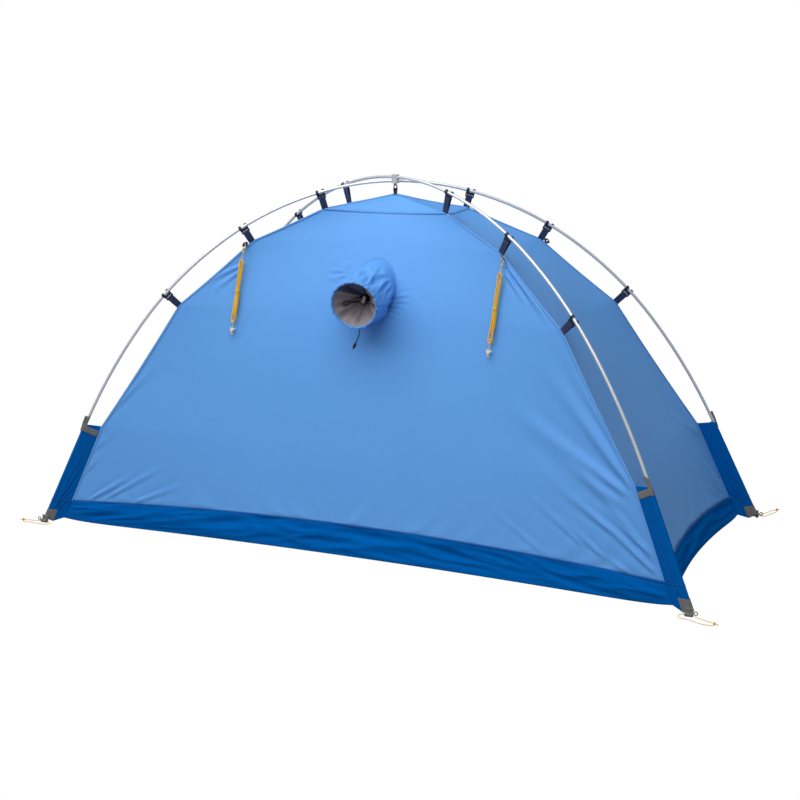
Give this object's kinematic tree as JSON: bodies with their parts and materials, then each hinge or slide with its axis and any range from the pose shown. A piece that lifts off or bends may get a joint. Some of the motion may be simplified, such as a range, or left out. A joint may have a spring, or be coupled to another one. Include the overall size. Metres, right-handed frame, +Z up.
{
  "type": "dome tent",
  "caption": "Small single-wall dome tent: clipped canopy under two crossing bow poles, tub floor, tunnel vent, zipped door and guy lines.",
  "frame": {"origin": "centre of the tent's footprint, on the ground under the floor", "axes": "+X along the tent's length, -Y out of the long side with the vent tunnel, +Z up"},
  "size_m": [2.2439, 1.0505, 1.0995],
  "materials": {
    "canopy_fabric": "light blue single-wall canopy cloth, coated inside",
    "floor_fabric": "deep blue coated floor cloth",
    "lining_fabric": "taupe grey coated lining of the vent tunnel",
    "mesh_fabric": "dark insect mesh",
    "strap_navy": "navy woven strap",
    "webbing_grey": "grey woven webbing",
    "cord_yellow": "yellow braided cord",
    "cord_black": "black braided elastic cord",
    "pole_silver": "satin anodised tube",
    "ferrule_bright": "bright turned aluminium",
    "clip_plastic": "moulded navy black plastic",
    "black_plastic": "moulded black plastic",
    "clear_plastic": "clear moulded plastic",
    "runner_ivory": "ivory moulded plastic",
    "zip_tape": "blue zip tape and coil",
    "zip_metal": "black enamelled slider"
  },
  "bodies": {
    "root": {"corner_elastics": "cord_black", "corner_loops": "webbing_grey", "corner_patches": "webbing_grey", "corner_sleeve_back_left": "floor_fabric", "corner_sleeve_back_right": "floor_fabric", "corner_sleeve_front_left": "floor_fabric", "corner_sleeve_front_right": "floor_fabric", "crossing_connector": "clear_plastic", "floor_band_front": "floor_fabric", "floor_band_left": "floor_fabric", "floor_band_rear": "floor_fabric", "floor_band_right": "floor_fabric", "floor_sheet": "floor_fabric", "guy_tabs": "strap_navy", "hook_straps": "strap_navy", "mesh_tie": "cord_black", "peg_loop_back_right": "cord_yellow", "peg_loop_front_left": "cord_yellow", "peg_loop_front_right": "cord_yellow", "pole_a_tubes": "pole_silver", "pole_b_tubes": "pole_silver", "pole_ferrules": "ferrule_bright", "pole_tips": "ferrule_bright", "roof_panel": "canopy_fabric", "shock_cords": "cord_black", "sleeve_webbings": "webbing_grey", "vent_cord_tail": "cord_black", "vent_drawcord": "cord_black", "vent_lining": "lining_fabric", "vent_mesh": "mesh_fabric", "vent_sleeve": "canopy_fabric", "wall_front": "canopy_fabric", "wall_left": "canopy_fabric", "wall_rear": "canopy_fabric", "wall_right": "canopy_fabric"},
    "clip_front_left_low": {"clip_front_left_low": "clip_plastic"},
    "clip_front_left_mid": {"clip_front_left_mid": "clip_plastic"},
    "clip_front_left_high": {"clip_front_left_high": "clip_plastic"},
    "clip_back_right_low": {"clip_back_right_low": "clip_plastic"},
    "clip_back_right_mid": {"clip_back_right_mid": "clip_plastic"},
    "clip_back_right_high": {"clip_back_right_high": "clip_plastic"},
    "clip_front_right_low": {"clip_front_right_low": "clip_plastic"},
    "clip_front_right_mid": {"clip_front_right_mid": "clip_plastic"},
    "clip_front_right_high": {"clip_front_right_high": "clip_plastic"},
    "clip_back_left_low": {"clip_back_left_low": "clip_plastic"},
    "clip_back_left_mid": {"clip_back_left_mid": "clip_plastic"},
    "clip_back_left_high": {"clip_back_left_high": "clip_plastic"},
    "top_hook": {"top_hook": "black_plastic"},
    "door": {"door_panel": "canopy_fabric", "door_zip": "zip_tape"},
    "slider_upper": {"zip_slider_upper": "zip_metal"},
    "pull_upper": {"zip_pull_upper": "zip_metal"},
    "slider_lower": {"zip_slider_lower": "zip_metal"},
    "pull_lower": {"zip_pull_lower": "zip_metal"},
    "cord_lock": {"vent_cord_lock": "black_plastic"},
    "lock_button": {"vent_lock_button": "black_plastic"},
    "guy_hank_left": {"guy_line_left": "cord_yellow"},
    "runner_left": {"guy_runner_left": "runner_ivory"},
    "guy_hank_right": {"guy_line_right": "cord_yellow"},
    "runner_right": {"guy_runner_right": "runner_ivory"}
  },
  "joints": [
    {"name": "clip_front_left_low_twist", "type": "hinge", "parent": "root", "child": "clip_front_left_low", "pos_m": [-0.65975, -0.28099, 0.7402], "axis": [-0.6744, -0.2872, 0.6802], "range_deg": [0, 90], "deforming": ["hook_straps"]},
    {"name": "clip_front_left_mid_twist", "type": "hinge", "parent": "root", "child": "clip_front_left_mid", "pos_m": [-0.432, -0.18399, 0.9439], "axis": [-0.4761, -0.2028, 0.8557], "range_deg": [0, 90], "deforming": ["hook_straps"]},
    {"name": "clip_front_left_high_twist", "type": "hinge", "parent": "root", "child": "clip_front_left_high", "pos_m": [-0.2113, -0.08999, 1.04819], "axis": [-0.2509, -0.1069, 0.9621], "range_deg": [0, 90], "deforming": ["hook_straps"]},
    {"name": "clip_back_right_low_twist", "type": "hinge", "parent": "root", "child": "clip_back_right_low", "pos_m": [0.65975, 0.28099, 0.7402], "axis": [0.6744, 0.2872, 0.6802], "range_deg": [0, 90], "deforming": ["hook_straps"]},
    {"name": "clip_back_right_mid_twist", "type": "hinge", "parent": "root", "child": "clip_back_right_mid", "pos_m": [0.432, 0.18399, 0.9439], "axis": [0.4761, 0.2028, 0.8557], "range_deg": [0, 90], "deforming": ["hook_straps"]},
    {"name": "clip_back_right_high_twist", "type": "hinge", "parent": "root", "child": "clip_back_right_high", "pos_m": [0.2113, 0.08999, 1.04819], "axis": [0.2509, 0.1069, 0.9621], "range_deg": [0, 90], "deforming": ["hook_straps"]},
    {"name": "clip_front_right_low_twist", "type": "hinge", "parent": "root", "child": "clip_front_right_low", "pos_m": [0.66175, -0.28185, 0.74146], "axis": [0.6805, -0.2898, 0.673], "range_deg": [0, 90], "deforming": ["hook_straps"]},
    {"name": "clip_front_right_mid_twist", "type": "hinge", "parent": "root", "child": "clip_front_right_mid", "pos_m": [0.43613, -0.18576, 0.94935], "axis": [0.4899, -0.2087, 0.8464], "range_deg": [0, 90], "deforming": ["hook_straps"]},
    {"name": "clip_front_right_high_twist", "type": "hinge", "parent": "root", "child": "clip_front_right_high", "pos_m": [0.21437, -0.0913, 1.05798], "axis": [0.2589, -0.1103, 0.9596], "range_deg": [0, 90], "deforming": ["hook_straps"]},
    {"name": "clip_back_left_low_twist", "type": "hinge", "parent": "root", "child": "clip_back_left_low", "pos_m": [-0.66175, 0.28185, 0.74146], "axis": [-0.6805, 0.2898, 0.673], "range_deg": [0, 90], "deforming": ["hook_straps"]},
    {"name": "clip_back_left_mid_twist", "type": "hinge", "parent": "root", "child": "clip_back_left_mid", "pos_m": [-0.43613, 0.18576, 0.94935], "axis": [-0.4899, 0.2087, 0.8464], "range_deg": [0, 90], "deforming": ["hook_straps"]},
    {"name": "clip_back_left_high_twist", "type": "hinge", "parent": "root", "child": "clip_back_left_high", "pos_m": [-0.21437, 0.0913, 1.05798], "axis": [-0.2589, 0.1103, 0.9596], "range_deg": [0, 90], "deforming": ["hook_straps"]},
    {"name": "top_hook_swing", "type": "hinge", "parent": "root", "child": "top_hook", "pos_m": [0, 0, 1.0707], "axis": [0, 1, 0], "range_deg": [-25, 25], "deforming": ["hook_straps"]},
    {"name": "door_swing", "type": "hinge", "parent": "root", "child": "door", "pos_m": [0.36, 0.3615, 0.15], "axis": [0, 0.2429, -0.9701], "range_deg": [0, 110]},
    {"name": "slider_upper_run", "type": "slide", "parent": "door", "child": "slider_upper", "axis": [0, -0.2524, 0.9676], "range_m": [0, 0.1]},
    {"name": "pull_upper_flip", "type": "hinge", "parent": "slider_upper", "child": "pull_upper", "pos_m": [-0.3519, 0.28701, 0.46391], "axis": [0.9969, -0.0764, -0.0199], "range_deg": [0, 140]},
    {"name": "slider_lower_run", "type": "slide", "parent": "door", "child": "slider_lower", "axis": [0, -0.2524, 0.9676], "range_m": [-0.105, 0]},
    {"name": "pull_lower_flip", "type": "hinge", "parent": "slider_lower", "child": "pull_lower", "pos_m": [-0.35195, 0.29693, 0.42591], "axis": [0.9974, -0.0701, -0.0183], "range_deg": [0, 140]},
    {"name": "cord_lock_slide", "type": "slide", "parent": "root", "child": "cord_lock", "axis": [0.4616, 0, 0.8871], "range_m": [0, 0.008]},
    {"name": "lock_button_press", "type": "slide", "parent": "cord_lock", "child": "lock_button", "axis": [0, 1, 0], "range_m": [0, 0.0014], "stiffness_N_per_m": 200, "springref_m": -0.0015},
    {"name": "guy_hank_left_swing", "type": "hinge", "parent": "root", "child": "guy_hank_left", "pos_m": [-0.42077, -0.19435, 0.89246], "axis": [-1, 0, 0], "range_deg": [0, 60]},
    {"name": "runner_left_slide", "type": "slide", "parent": "guy_hank_left", "child": "runner_left", "axis": [0.0537, 0.253, 0.966], "range_m": [0, 0.008]},
    {"name": "guy_hank_right_swing", "type": "hinge", "parent": "root", "child": "guy_hank_right", "pos_m": [0.42077, -0.19435, 0.89246], "axis": [-1, 0, 0], "range_deg": [0, 60]},
    {"name": "runner_right_slide", "type": "slide", "parent": "guy_hank_right", "child": "runner_right", "axis": [0.0659, 0.2466, 0.9669], "range_m": [0, 0.008]}
  ]
}
